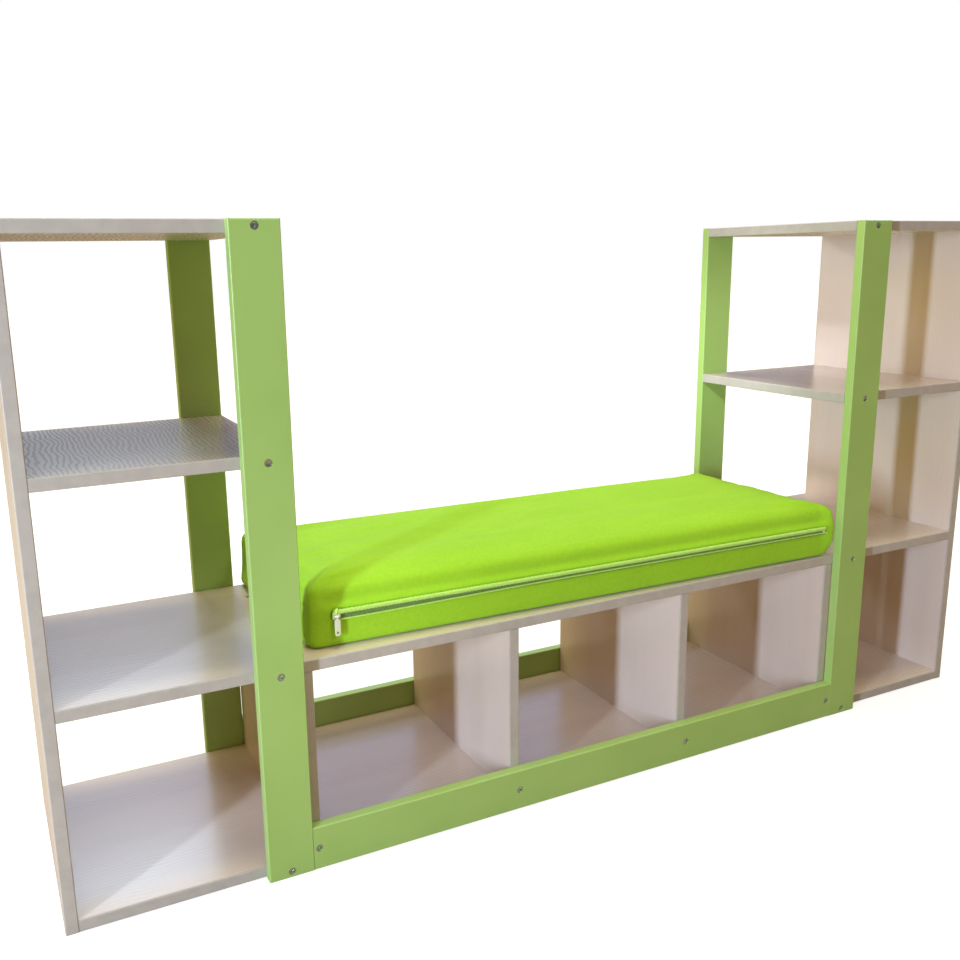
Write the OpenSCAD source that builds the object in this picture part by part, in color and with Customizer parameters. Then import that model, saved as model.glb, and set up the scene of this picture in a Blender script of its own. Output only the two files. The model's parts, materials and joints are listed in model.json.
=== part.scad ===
// Cube storage bench. Two open towers of three cubes stand at the ends of a low row of three
// cubes, and a seat cushion with a zip cover lies on the row. The origin is on the floor at the
// middle of the footprint. +X runs along the bench, the front faces -Y, and +Z is up.

/* [Boards] */
// Thickness of the laminated chipboard
board_t = 16; // [15:1:19]
// Front-to-back depth of the boards
board_d = 348; // [300:1:420]
// Clear width of each cube in the bench
cube_w = 296; // [240:1:360]
// Clear height of every cube
cube_h = 262; // [230:1:330]
// Clear width of the cubes in the towers
tower_w = 298; // [240:1:360]

/* [Edging] */
// Thickness of the strip glued round a board's visible edges
edging_t = 2; // [1.6:0.1:2.5]
// Radius of the strip's outer corners
edging_r = 1.5; // [0.5:0.1:1.5]

/* [Posts and rails] */
// Width of the coloured posts in front of and behind the towers
post_w = 62; // [50:1:80]
// Height of the coloured floor rails
rail_h = 62; // [50:1:80]

/* [Screws] */
// Length of a chipboard screw
screw_l = 50; // [40:1:60]
// Diameter of its head
screw_head_d = 9.6; // [8:0.1:10]
// Diameter of its plain shank
screw_shank_d = 7; // [5:0.1:7]
// Diameter of its threaded end
screw_thread_d = 6.4; // [4:0.1:6.4]
// Distance from the middle of a board's depth to a pair's screws
screw_pitch = 110; // [80:1:120]

/* [Cushion] */
// Gap between the cushion and the tower at each end
cushion_gap = 9; // [9:1:30]
// How much shallower the cushion is than the boards
cushion_set_back = 10; // [8:1:40]
// Height of the cushion
cushion_h = 90; // [70:1:110]
// Radius of its upright corners
cushion_corner_r = 26; // [15:1:40]
// Radius of its long edges
cushion_edge_r = 20; // [12:1:26]
// Turn of the cushion as it lies on the seat
cushion_turn = -1.6; // [-1.6:0.1:0]
// Thickness of the cover's cloth
cover_t = 1.5; // [1:0.1:2]
// Gap all round between the cover and the foam
foam_gap = 0.3; // [0.2:0.1:1]

/* [Zip] */
// Distance from each end of the cushion to the end of its zip
zip_margin = 29; // [27:1:100]
// Height of both tapes together
tape_h = 12; // [10:1:16]
// Height of the closed coil between the tapes
coil_h = 4; // [3:0.5:5]
// Length of the slider
slider_l = 11; // [8:0.5:14]
// Height of the slider
slider_h = 8.5; // [6:0.5:10]
// Length of the pull tab below its eye
tab_l = 29; // [20:1:35]
// Width of the pull tab
tab_w = 8; // [5:0.5:9]

/* [Hidden] */
$fn = 48;

oak = [0.74, 0.69, 0.63];
oak_edge = [0.70, 0.65, 0.59];
green = [0.62, 0.74, 0.50];
green_edge = [0.68, 0.80, 0.55];
zinc = [0.66, 0.67, 0.66];
lime = [0.60, 0.83, 0.22];
foam = [0.93, 0.90, 0.72];
nickel = [0.82, 0.83, 0.80];

left = -1;
right = 1;
front = -1;
rear = 1;
raw = 0;
banded = 1;

// Levels: base board, seat board, upper shelf and top board, from the floor up
level_step = cube_h + board_t;
function level_z(k) = k * level_step;
function level_mid(k) = level_z(k) + board_t / 2;
seat_top = level_z(1) + board_t;
height = level_z(3) + board_t;

// Lengths along X
bench_l = 3 * cube_w + 4 * board_t;
half_bench = bench_l / 2;
half_inner = half_bench + tower_w;
half_length = half_inner + board_t;
half_board_d = board_d / 2;

// The four uprights under the seat, from left to right
function upright_x(i) = (i - 1.5) * (cube_w + board_t);
post_x = half_bench + post_w / 2;

// ---- Boards -----------------------------------------------------------------------------
// A board lies with its length along X, its depth along Y and its thickness up from Z = 0.
// Its two long edges are banded, and either end may be.

module edging_strip(l) {
  rotate([90, 0, 90]) linear_extrude(l) intersection() {
    square([edging_t, board_t]);
    union() {
      square([edging_t - edging_r, board_t]);
      translate([0, edging_r]) square([edging_t, board_t - 2 * edging_r]);
      for (z = [edging_r, board_t - edging_r]) translate([edging_t - edging_r, z]) circle(edging_r);
    }
  }
}

module board_core(l, w, ends) {
  translate([ends[0] * edging_t, edging_t, 0])
    cube([l - (ends[0] + ends[1]) * edging_t, w - 2 * edging_t, board_t]);
}

module board_edging(l, w, ends) {
  translate([0, w - edging_t, 0]) edging_strip(l);
  translate([l, edging_t, 0]) rotate(180) edging_strip(l);
  if (ends[0] == banded) translate([edging_t, edging_t, 0]) rotate(90) edging_strip(w - 2 * edging_t);
  if (ends[1] == banded) translate([l - edging_t, w - edging_t, 0]) rotate(-90) edging_strip(w - 2 * edging_t);
}

module board(piece, l, w, ends = [raw, raw]) {
  if (piece == "core") board_core(l, w, ends);
  if (piece == "edging") board_edging(l, w, ends);
}

// Boards that lie flat, from x0 to x1
module flat_board(piece, x0, x1, z, ends) {
  translate([x0, -half_board_d, z]) board(piece, x1 - x0, board_d, ends);
}

// Boards that stand across the bench, centred on x, with their length up
module cross_board(piece, x, z0, z1, ends) {
  translate([x + board_t / 2, -half_board_d, z0]) rotate([0, -90, 0])
    board(piece, z1 - z0, board_d, ends);
}

module side_panel(piece, side) {
  difference() {
    cross_board(piece, side * (half_length - board_t / 2), 0, height, [raw, banded]);
    side_screws(side, "hole");
  }
}

// An upper shelf or a top board: screwed to the side panel, free at its inner end
module tower_board(piece, side, k) {
  difference() {
    if (side == left) flat_board(piece, -half_inner, -half_bench, level_z(k), [raw, banded]);
    else flat_board(piece, half_bench, half_inner, level_z(k), [banded, raw]);
    side_screws(side, "hole");
    post_screws(side, "hole");
  }
}

module long_board(piece, k) {
  difference() {
    flat_board(piece, -half_inner, half_inner, level_z(k), [raw, raw]);
    for (side = [left, right]) {
      side_screws(side, "hole");
      post_screws(side, "hole");
    }
    if (k == 0) base_screw_set("hole");
    else seat_screw_set("hole");
  }
}

module upright(piece, i) {
  difference() {
    cross_board(piece, upright_x(i), board_t, level_z(1), [raw, raw]);
    base_screw_set("hole", [i]);
    seat_screw_set("hole", [i]);
    rail_screw_set("hole", [i]);
  }
}

module post(piece, side, face) {
  difference() {
    translate([side * post_x - post_w / 2, face * (half_board_d + board_t / 2) - board_t / 2, 0])
      rotate(a = 240, v = [1, 1, 1]) board(piece, height, post_w, [raw, banded]);
    post_screws(side, "hole", [face]);
  }
}

module rail(piece, face) {
  difference() {
    translate([-half_bench, face * (half_board_d + board_t / 2) + board_t / 2, 0])
      rotate([90, 0, 0]) board(piece, bench_l, rail_h, [raw, raw]);
    rail_screw_set("hole", [0, 1, 2, 3], [face]);
  }
}

// ---- Screws -----------------------------------------------------------------------------
// A screw goes in along +Z from the board's face at Z = 0. Its head lies just under the face.

screw_sink = 0.6;
screw_head_h = 2;
screw_cone_h = 1.6;
screw_shank_end = 17;
screw_tip_h = 3;
socket_d = 4.6;
socket_depth = 2.8;
hole_gap = 0.1;
head_gap = 0.3;

module screw() {
  head_r = screw_head_d / 2;
  shank_r = screw_shank_d / 2;
  thread_r = screw_thread_d / 2;
  cone_z = screw_sink + screw_head_h;
  difference() {
    rotate_extrude() polygon([
      [0, screw_sink], [head_r - 0.5, screw_sink], [head_r, screw_sink + 0.5], [head_r, cone_z],
      [shank_r, cone_z + screw_cone_h], [shank_r, screw_shank_end], [thread_r, screw_shank_end],
      [thread_r, screw_l - screw_tip_h], [1, screw_l], [0, screw_l]
    ]);
    translate([0, 0, screw_sink - 1]) cylinder(d = socket_d, h = socket_depth + 1, $fn = 6);
  }
}

module screw_hole() {
  head_r = screw_head_d / 2 + head_gap;
  shank_r = screw_shank_d / 2 + hole_gap;
  thread_r = screw_thread_d / 2 + hole_gap;
  cone_z = screw_sink + screw_head_h;
  rotate_extrude() polygon([
    [0, -1], [head_r, -1], [head_r, cone_z], [shank_r, cone_z + screw_cone_h],
    [shank_r, screw_shank_end], [thread_r, screw_shank_end], [thread_r, screw_l + 1], [0, screw_l + 1]
  ]);
}

module driven(what, point, into) {
  translate(point) rotate([0, acos(into[2]), atan2(into[1], into[0])]) {
    if (what == "hole") screw_hole();
    else screw();
  }
}

// Through a side panel into the ends of the boards it holds
module side_screws(side, what) {
  for (k = [0:3], y = [-screw_pitch, screw_pitch])
    driven(what, [side * half_length, y, level_mid(k)], [-side, 0, 0]);
}

// Through a post into the edge of each board that it crosses
module post_screws(side, what, faces = [front, rear]) {
  for (face = faces, k = [0:3])
    driven(what, [side * post_x, face * (half_board_d + board_t), level_mid(k)], [0, -face, 0]);
}

// Through a rail into the edge of each upright
module rail_screw_set(what, uprights = [0, 1, 2, 3], faces = [front, rear]) {
  for (face = faces, i = uprights)
    driven(what, [upright_x(i), face * (half_board_d + board_t), rail_h / 2], [0, -face, 0]);
}

// Down through the seat board, and up through the base board, into the uprights
module seat_screw_set(what, uprights = [0, 1, 2, 3]) {
  for (i = uprights, y = [-screw_pitch, screw_pitch]) driven(what, [upright_x(i), y, seat_top], [0, 0, -1]);
}

module base_screw_set(what, uprights = [0, 1, 2, 3]) {
  for (i = uprights, y = [-screw_pitch, screw_pitch]) driven(what, [upright_x(i), y, 0], [0, 0, 1]);
}

// ---- Cushion ----------------------------------------------------------------------------
// It is drawn with its centre at the origin of X and Y and its underside at Z = 0.

cushion_l = bench_l - 2 * cushion_gap;
cushion_d = board_d - cushion_set_back;
cushion_x = 4;
cushion_y = 5.5;
zip_l = cushion_l - 2 * zip_margin;
zip_x = 7.5;
zip_z = 46;
tape_t = 1.1;
tape_sink = 0.2;
stop_w = 2.5;
slider_t = 2.2;
slider_gap = 0.3;
slider_r = 2;
bridge_r = 0.8;
bridge_l = 8;
bridge_reach = 2.5;
bridge_foot_l = 1.2;
eye_r = 1.9;
eye_gap = 0.08;
eye_w = 5;
tab_t = 1.2;
tab_hole_r = 1.9;
tab_corner_r = 2.5;
neck_l = 3;
front_y = -cushion_d / 2;
slider_face_y = front_y - slider_gap - slider_t;
bridge_y = slider_face_y - bridge_reach;
// The slider waits just clear of the stop at the zip's left end
slider_clear = 6;
slider_x = zip_x - zip_l / 2 + stop_w + slider_l / 2 + slider_clear;

module on_seat() {
  translate([cushion_x, cushion_y, seat_top]) rotate(cushion_turn) children();
}

module rounded_rectangle(l, w, r) {
  square([l - 2 * r, w], center = true);
  square([l, w - 2 * r], center = true);
  for (x = [-1, 1], y = [-1, 1]) translate([x * (l / 2 - r), y * (w / 2 - r)]) circle(r);
}

// A block with rounded upright corners and rounded long edges, inside a skin of thickness inset
module cushion_block(inset) {
  l = cushion_l - 2 * inset;
  d = cushion_d - 2 * inset;
  h = cushion_h - 2 * inset;
  edge = cushion_edge_r - inset;
  translate([0, 0, cushion_h / 2]) intersection() {
    linear_extrude(h, center = true) rounded_rectangle(l, d, cushion_corner_r - inset);
    rotate([90, 0, 90]) linear_extrude(l, center = true) rounded_rectangle(d, h, edge);
    rotate([90, 0, 0]) linear_extrude(d, center = true) rounded_rectangle(l, h, edge);
  }
}

module zip_slot(l, h, y, t) {
  translate([zip_x - l / 2, y, zip_z - h / 2]) cube([l, t, h]);
}

module left_side_panel() { color(oak) side_panel("core", left); }
module right_side_panel() { color(oak) side_panel("core", right); }
module left_top_board() { color(oak) tower_board("core", left, 3); }
module right_top_board() { color(oak) tower_board("core", right, 3); }
module left_upper_shelf() { color(oak) tower_board("core", left, 2); }
module right_upper_shelf() { color(oak) tower_board("core", right, 2); }
module seat_board() { color(oak) long_board("core", 1); }
module base_board() { color(oak) long_board("core", 0); }
module left_end_panel() { color(oak) upright("core", 0); }
module left_divider() { color(oak) upright("core", 1); }
module right_divider() { color(oak) upright("core", 2); }
module right_end_panel() { color(oak) upright("core", 3); }
module left_front_post() { color(green) post("core", left, front); }
module right_front_post() { color(green) post("core", right, front); }
module left_rear_post() { color(green) post("core", left, rear); }
module right_rear_post() { color(green) post("core", right, rear); }
module front_rail() { color(green) rail("core", front); }
module rear_rail() { color(green) rail("core", rear); }

module left_side_panel_edging() { color(oak_edge) side_panel("edging", left); }
module right_side_panel_edging() { color(oak_edge) side_panel("edging", right); }
module left_top_board_edging() { color(oak_edge) tower_board("edging", left, 3); }
module right_top_board_edging() { color(oak_edge) tower_board("edging", right, 3); }
module left_upper_shelf_edging() { color(oak_edge) tower_board("edging", left, 2); }
module right_upper_shelf_edging() { color(oak_edge) tower_board("edging", right, 2); }
module seat_board_edging() { color(oak_edge) long_board("edging", 1); }
module base_board_edging() { color(oak_edge) long_board("edging", 0); }
module left_end_panel_edging() { color(oak_edge) upright("edging", 0); }
module left_divider_edging() { color(oak_edge) upright("edging", 1); }
module right_divider_edging() { color(oak_edge) upright("edging", 2); }
module right_end_panel_edging() { color(oak_edge) upright("edging", 3); }
module left_front_post_edging() { color(green_edge) post("edging", left, front); }
module right_front_post_edging() { color(green_edge) post("edging", right, front); }
module left_rear_post_edging() { color(green_edge) post("edging", left, rear); }
module right_rear_post_edging() { color(green_edge) post("edging", right, rear); }
module front_rail_edging() { color(green_edge) rail("edging", front); }
module rear_rail_edging() { color(green_edge) rail("edging", rear); }

module left_side_screws() { color(zinc) side_screws(left, "screw"); }
module right_side_screws() { color(zinc) side_screws(right, "screw"); }
module left_post_screws() { color(zinc) post_screws(left, "screw"); }
module right_post_screws() { color(zinc) post_screws(right, "screw"); }
module rail_screws() { color(zinc) rail_screw_set("screw"); }
module seat_screws() { color(zinc) seat_screw_set("screw"); }
module base_screws() { color(zinc) base_screw_set("screw"); }

module cushion_cover() {
  color(lime) on_seat() difference() {
    cushion_block(0);
    cushion_block(cover_t);
    zip_slot(zip_l, tape_h, front_y - 1, cover_t + 2);
  }
}

module cushion_foam() {
  color(foam) on_seat() cushion_block(cover_t + foam_gap);
}

// The upper and the lower tape, with the coil between them, fill the slot in the cover
module zip_tapes() {
  color(lime) on_seat() difference() {
    zip_slot(zip_l, tape_h, front_y + tape_sink, tape_t);
    zip_slot(zip_l + 2, coil_h, front_y, cover_t);
  }
}

module zip_coil() {
  color(green_edge) on_seat() zip_slot(zip_l, coil_h, front_y + tape_sink, tape_t);
}

// One clip over the coil at each end of the slider's run
module zip_stops() {
  color(nickel) on_seat() for (end = [-1, 1])
    translate([zip_x + end * (zip_l - stop_w) / 2 - stop_w / 2, front_y + tape_sink - tape_t, zip_z - coil_h])
      cube([stop_w, tape_t, 2 * coil_h]);
}

// The slider's face plate, with the bar on two feet that carries the pull tab
module zip_slider() {
  color(nickel) on_seat() translate([slider_x, 0, zip_z]) {
    translate([0, slider_face_y + slider_t, 0]) rotate([90, 0, 0])
      linear_extrude(slider_t) rounded_rectangle(slider_l, slider_h, slider_r);
    translate([-bridge_l / 2, bridge_y, 0]) rotate([0, 90, 0]) cylinder(r = bridge_r, h = bridge_l);
    for (end = [-1, 1])
      translate([end * (bridge_l - bridge_foot_l) / 2 - bridge_foot_l / 2, bridge_y, -bridge_r])
        cube([bridge_foot_l, bridge_reach, 2 * bridge_r]);
  }
}

// The pull tab hangs from an eye that turns on the slider's bar
module pull_tab() {
  color(nickel) on_seat() translate([slider_x, bridge_y, zip_z]) difference() {
    union() {
      translate([-eye_w / 2, 0, 0]) rotate([0, 90, 0]) cylinder(r = eye_r, h = eye_w);
      translate([-eye_w / 2, -tab_t / 2, -eye_r - neck_l - tab_corner_r])
        cube([eye_w, tab_t, eye_r + neck_l + tab_corner_r]);
      translate([0, tab_t / 2, -(tab_l + eye_r + neck_l) / 2]) rotate([90, 0, 0])
        linear_extrude(tab_t) rounded_rectangle(tab_w, tab_l - eye_r - neck_l, tab_corner_r);
    }
    translate([-eye_w, 0, 0]) rotate([0, 90, 0]) cylinder(r = bridge_r + eye_gap, h = 2 * eye_w);
    translate([0, tab_t, tab_w / 2 - tab_l]) rotate([90, 0, 0]) cylinder(r = tab_hole_r, h = 2 * tab_t);
  }
}

left_side_panel();
right_side_panel();
left_top_board();
right_top_board();
left_upper_shelf();
right_upper_shelf();
seat_board();
base_board();
left_end_panel();
right_end_panel();
left_divider();
right_divider();
left_front_post();
right_front_post();
left_rear_post();
right_rear_post();
front_rail();
rear_rail();
left_side_panel_edging();
right_side_panel_edging();
left_top_board_edging();
right_top_board_edging();
left_upper_shelf_edging();
right_upper_shelf_edging();
seat_board_edging();
base_board_edging();
left_end_panel_edging();
right_end_panel_edging();
left_divider_edging();
right_divider_edging();
left_front_post_edging();
right_front_post_edging();
left_rear_post_edging();
right_rear_post_edging();
front_rail_edging();
rear_rail_edging();
left_side_screws();
right_side_screws();
left_post_screws();
right_post_screws();
rail_screws();
seat_screws();
base_screws();
cushion_cover();
cushion_foam();
zip_tapes();
zip_coil();
zip_stops();
zip_slider();
pull_tab();
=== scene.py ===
# %% [markdown]
# # A cube storage bench with a seat cushion
# Two open shelf towers stand at the ends of a low row of cubes. Posts and floor rails in green
# tie them together, and a foam cushion in a lime cover lies on the row. The boards already have
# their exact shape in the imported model, so they are kept and only given a finish. The screws,
# the cushion and its zip are modelled again here, because their looks need more than flat faces.
# Everything is in metres, with the front towards -Y.

# %% Load the frame
import json
import math

import bmesh
import bpy
import numpy as np
from mathutils import Matrix, Vector

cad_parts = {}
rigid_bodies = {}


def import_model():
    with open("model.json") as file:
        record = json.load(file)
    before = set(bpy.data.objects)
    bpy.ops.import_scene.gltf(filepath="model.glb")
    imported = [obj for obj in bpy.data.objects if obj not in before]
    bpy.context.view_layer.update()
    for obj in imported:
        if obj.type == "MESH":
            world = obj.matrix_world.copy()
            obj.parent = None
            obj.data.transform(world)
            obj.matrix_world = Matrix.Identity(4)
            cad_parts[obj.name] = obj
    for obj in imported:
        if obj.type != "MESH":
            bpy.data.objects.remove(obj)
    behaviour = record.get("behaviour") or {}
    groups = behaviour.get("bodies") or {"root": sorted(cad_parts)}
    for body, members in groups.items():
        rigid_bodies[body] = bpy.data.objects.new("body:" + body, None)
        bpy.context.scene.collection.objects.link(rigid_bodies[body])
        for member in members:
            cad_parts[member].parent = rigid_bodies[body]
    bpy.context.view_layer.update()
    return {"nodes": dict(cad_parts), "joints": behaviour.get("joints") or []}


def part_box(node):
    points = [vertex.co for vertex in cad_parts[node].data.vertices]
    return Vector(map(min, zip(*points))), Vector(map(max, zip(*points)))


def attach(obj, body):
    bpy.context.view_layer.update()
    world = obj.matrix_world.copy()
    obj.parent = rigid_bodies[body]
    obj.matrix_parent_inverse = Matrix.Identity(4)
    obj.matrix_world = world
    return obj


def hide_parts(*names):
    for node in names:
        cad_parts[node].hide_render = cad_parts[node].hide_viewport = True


for leftover in list(bpy.data.objects):
    bpy.data.objects.remove(leftover)
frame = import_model()
nodes = frame["nodes"]

# %% [markdown]
# ## Where things are
# A node's box gives its place. The middle of a box, and the joints' axes, are enough to place
# every new piece, so no position is typed in twice. The cushion lies slightly turned on the
# seat: its turn is read from the direction in which the zip runs.

# %% Places read from the frame
def middle(node):
    lo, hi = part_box(node)
    return (lo + hi) / 2


joints = {joint["name"]: joint for joint in frame["joints"]}
zip_axis = Vector(joints["zip_run"]["axis"])
cushion_turn = math.atan2(zip_axis.y, zip_axis.x)
cushion_low, cushion_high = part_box("cushion_cover")
seat_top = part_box("seat_board")[1].z
cushion_mid = Vector((middle("cushion_cover").x, middle("cushion_cover").y, seat_top))
cushion_h = cushion_high.z - seat_top
lay_on_seat = Matrix.Translation(cushion_mid) @ Matrix.Rotation(cushion_turn, 4, "Z")
to_cushion = lay_on_seat.inverted()
print("the cushion is turned by", round(math.degrees(cushion_turn), 2), "degrees")

# %% [markdown]
# ## The camera
# The eye is at a child's shelf height, close to the left tower and looking along the row to the
# right, so the near tower looks large. The lens is a little wider than normal, and the frame is
# shifted a touch sideways rather than turned, which keeps the uprights almost parallel.

# %% Camera
scene = bpy.context.scene
scene.view_settings.view_transform = "Standard"
lens = bpy.data.cameras.new("camera")
lens.sensor_width = 36
lens.lens = 36.28
lens.shift_x = 0.0322
lens.shift_y = -0.0007
lens.clip_end = 60
camera = bpy.data.objects.new("camera", lens)
scene.collection.objects.link(camera)
scene.camera = camera
camera_turn = Matrix.Rotation(math.radians(-26.208), 4, "Z")
camera_tilt = Matrix.Rotation(math.radians(90 - 12.762), 4, "X")
camera_roll = Matrix.Rotation(math.radians(-0.988), 4, "Z")
camera_place = Matrix.Translation((-0.81686, -1.31204, 0.79930))
camera.matrix_world = camera_place @ camera_turn @ camera_tilt @ camera_roll
print("the camera stands", round(camera.location.length, 2), "m from the middle of the floor")

# %% [markdown]
# ## Nodes as sums
# A material is a network of nodes. Written out link by link it is long and hard to read, so a
# small class wraps a node's output and lets Python's own signs add the Math nodes. Any other
# node comes from one method: its settings first, then the values or links of its sockets.

# %% A socket that can be added and multiplied
class Wire:
    """An output socket of a node tree. Sums on wires add Math nodes to the tree."""

    def __init__(self, tree, socket=None):
        self.tree = tree
        self.socket = socket

    def add(self, kind, settings=None, values=None, output=0):
        """Adds a node: its settings first, then the values or links of its sockets."""
        node = self.tree.nodes.new(kind)
        for name, value in (settings or {}).items():
            setattr(node, name, value)
        for name, value in (values or {}).items():
            if isinstance(value, Wire):
                self.tree.links.new(value.socket, node.inputs[name])
            else:
                node.inputs[name].default_value = value
        return Wire(self.tree, node.outputs[output])

    def output(self, name):
        """Another output of the node that this wire comes from."""
        return Wire(self.tree, self.socket.node.outputs[name])

    def maths(self, operation, *terms):
        return self.add("ShaderNodeMath", {"operation": operation}, dict(enumerate(terms)))

    def __add__(self, other):
        return self.maths("ADD", self, other)

    def __sub__(self, other):
        return self.maths("SUBTRACT", self, other)

    def __rsub__(self, other):
        return self.maths("SUBTRACT", other, self)

    def __mul__(self, other):
        return self.maths("MULTIPLY", self, other)

    def __pow__(self, other):
        return self.maths("POWER", self, other)

    def sine(self):
        return self.maths("SINE", self)

    def step(self, low, high):
        """0 below low, 1 above high, smooth between."""
        limits = {"Value": self, "From Min": low, "From Max": high}
        return self.add("ShaderNodeMapRange", {"interpolation_type": "SMOOTHSTEP"}, limits)

    def mix(self, first, second):
        """The first colour where this wire is 0 and the second where it is 1."""
        factor, colour_a, colour_b, colour_out = 0, 6, 7, 2
        values = {factor: self, colour_a: first, colour_b: second}
        return self.add("ShaderNodeMix", {"data_type": "RGBA"}, values, colour_out)

    __radd__ = __add__
    __rmul__ = __mul__


def finish_material(name, build, **fixed):
    """A material whose fixed values sit on the shader and whose varying ones come from build."""
    material = bpy.data.materials.new(name)
    material.use_nodes = True
    shader = material.node_tree.nodes["Principled BSDF"]
    for socket, value in fixed.items():
        shader.inputs[socket.replace("_", " ")].default_value = value
    for socket, wire in build(Wire(material.node_tree)).items():
        material.node_tree.links.new(wire.socket, shader.inputs[socket])
    return material


def noise(tree, scale, detail=2.0, rough=0.5):
    """Soft noise on the object's own coordinates, with a scale per axis in waves per metre."""
    start = tree.add("ShaderNodeTexCoord", output="Object")
    where = tree.add("ShaderNodeMapping", {}, {"Vector": start, "Scale": scale})
    values = {"Vector": where, "Scale": 1.0, "Detail": detail, "Roughness": rough}
    return tree.add("ShaderNodeTexNoise", {}, values)


def bump(tree, height, distance, strength):
    """A relief: a height from 0 to 1 stands for a distance in metres."""
    values = {"Height": height, "Distance": distance, "Strength": strength}
    return tree.add("ShaderNodeBump", {}, values)

# %% [markdown]
# ## A quiet studio
# The unit stands on a plain pale floor that runs off into a white surround. The surround is
# seen at full white but lights the bench more softly: warm from most sides, and neutral from
# the right. Glossy boards mirror something else again, dark low down and cool daylight above,
# like a far window. A Light Path node tells these three kinds of ray apart. The floor glows a
# little for the eye alone, so no grey band is left where it meets the surround.

# %% Floor and surround
floor_size = 40
floor_drop = 0.0004
bpy.ops.mesh.primitive_plane_add(size=floor_size, location=(0, 0, -floor_drop))
floor = bpy.context.object
floor.name = "floor"


def pale_floor(tree):
    seen = tree.add("ShaderNodeLightPath", output="Is Camera Ray")
    cloud = noise(tree, (3, 3, 3)).mix((0.50, 0.50, 0.50, 1), (0.53, 0.53, 0.53, 1))
    return {
        "Base Color": seen.mix((0.40, 0.34, 0.28, 1), cloud),
        "Emission Color": seen.mix((0, 0, 0, 1), (0.62, 0.62, 0.62, 1)),
    }


floor.data.materials.append(finish_material(
    "pale_floor", pale_floor, Roughness=0.8, Specular_IOR_Level=0.0, Emission_Strength=1.0
))

surround = bpy.data.worlds.new("surround")
scene.world = surround
surround.use_nodes = True
backdrop = surround.node_tree.nodes["Background"]
air = Wire(surround.node_tree)
seen = air.add("ShaderNodeLightPath", output="Is Camera Ray")
mirrored = seen.output("Is Glossy Ray")
direction = air.add("ShaderNodeTexCoord", output="Generated")
rightwards = air.add("ShaderNodeSeparateXYZ", {}, {"Vector": direction}, "X")
upwards = rightwards.output("Z")
warm_room, neutral_room = (0.46, 0.22, 0.07, 1), (0.42, 0.36, 0.31, 1)
dark_below, daylight = (0.02, 0.02, 0.03, 1), (0.95, 1.25, 2.1, 1)
room = rightwards.step(0.2, 0.8).mix(warm_room, neutral_room)
far_wall = upwards.step(0.24, 0.5).mix(dark_below, daylight)
sky = seen.mix(mirrored.mix(room, far_wall), (1, 1, 1, 1))
surround.node_tree.links.new(sky.socket, backdrop.inputs["Color"])
print("floor and surround are ready")

# %% [markdown]
# ## Lights
# The main light is a tall narrow window to the front left, and cool: upright edges throw clean
# shadows and level ones throw none. A lamp high behind the bench draws the shadow of the rear
# rail on the base board, and a big warm lamp fills the left side. Two spots lift one small part
# each, the rear of the right tower and the cushion's front left corner. Two lights overhead
# share the tops between them, a warm one with soft shadows and a cool one with hardly any.

# %% Lights
def hang(name, kind, at, towards, power, colour):
    """Hangs a light that looks from one point at another, and gives back its settings."""
    data = bpy.data.lights.new(name, kind)
    data.energy = power
    data.color = colour
    light = bpy.data.objects.new(name, data)
    scene.collection.objects.link(light)
    light.location = at
    light.rotation_euler = (Vector(towards) - Vector(at)).to_track_quat("-Z", "Y").to_euler()
    print(name, power, "W")
    return data


def lamp(name, size, at, towards, power, colour):
    """A rectangular light of a size (width, height)."""
    data = hang(name, "AREA", at, towards, power, colour)
    data.shape = "RECTANGLE"
    data.size, data.size_y = size


def spot(name, at, towards, power, spread, colour):
    """A small round light for one part of the scene."""
    data = hang(name, "SPOT", at, towards, power, colour)
    data.spot_size = math.radians(spread)
    data.spot_blend = 0.7
    data.shadow_soft_size = 0.08


def overhead(name, strength, spread, colour):
    """A soft light from straight above, the same everywhere on the floor."""
    data = bpy.data.lights.new(name, "SUN")
    data.energy = strength
    data.angle = math.radians(spread)
    data.color = colour
    scene.collection.objects.link(bpy.data.objects.new(name, data))
    print(name, strength, "W per square metre")


lamp("window", (0.16, 0.95), (-2.86, -1.65, 0.78), (0.1, 0, 0.45), 106, (0.56, 0.72, 1.0))
lamp("rear_lamp", (0.8, 0.5), (-0.5, 2.3, 2.0), (0, 0, 0.3), 19, (0.78, 0.93, 1.0))
lamp("room_lamp", (1.2, 1.2), (-3.2, 0.6, 1.4), (0, 0, 0.4), 22, (1.0, 0.95, 0.3))
spot("shelf_glow", (-0.9, -0.6, 1.6), (0.49, 0.09, 0.63), 135, 12, (0.75, 0.82, 1.0))
spot("front_glow", (0.1, -1.7, 1.2), (-0.37, -0.16, 0.36), 20, 12, (1.0, 0.95, 0.8))
overhead("ceiling_lamp", 1.9, 25, (1.0, 0.89, 0.54))
overhead("skylight", 1.15, 75, (0.18, 0.64, 1.0))

# %% [markdown]
# ## Oak boards
# The boards are chipboard faced with a printed oak melamine. The print shows long pores, with
# wavy rings a few millimetres apart that fade in and out, and the paper has a shallow pressed
# grain that catches the light. The pattern is built from the board's own coordinates, stretched
# along the grain, so it runs the length of long boards and front to back on short shelves. The
# rings are a sine wave across the grain that a slow noise sways, and they are clearest on the
# short shelves. Each board shifts the pattern by its own amount, so no two look the same.

# %% Oak finish
oak_pale = (0.72, 0.60, 0.49, 1)
oak_deep = (0.66, 0.535, 0.425, 1)
oak_line = (0.25, 0.19, 0.15, 1)
ring_waves = 950
ring_sway = 34


def along(axis, fine, slow):
    """Scales per axis: slow along the grain and fine across it."""
    return tuple(slow if i == axis else fine for i in range(3))


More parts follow.
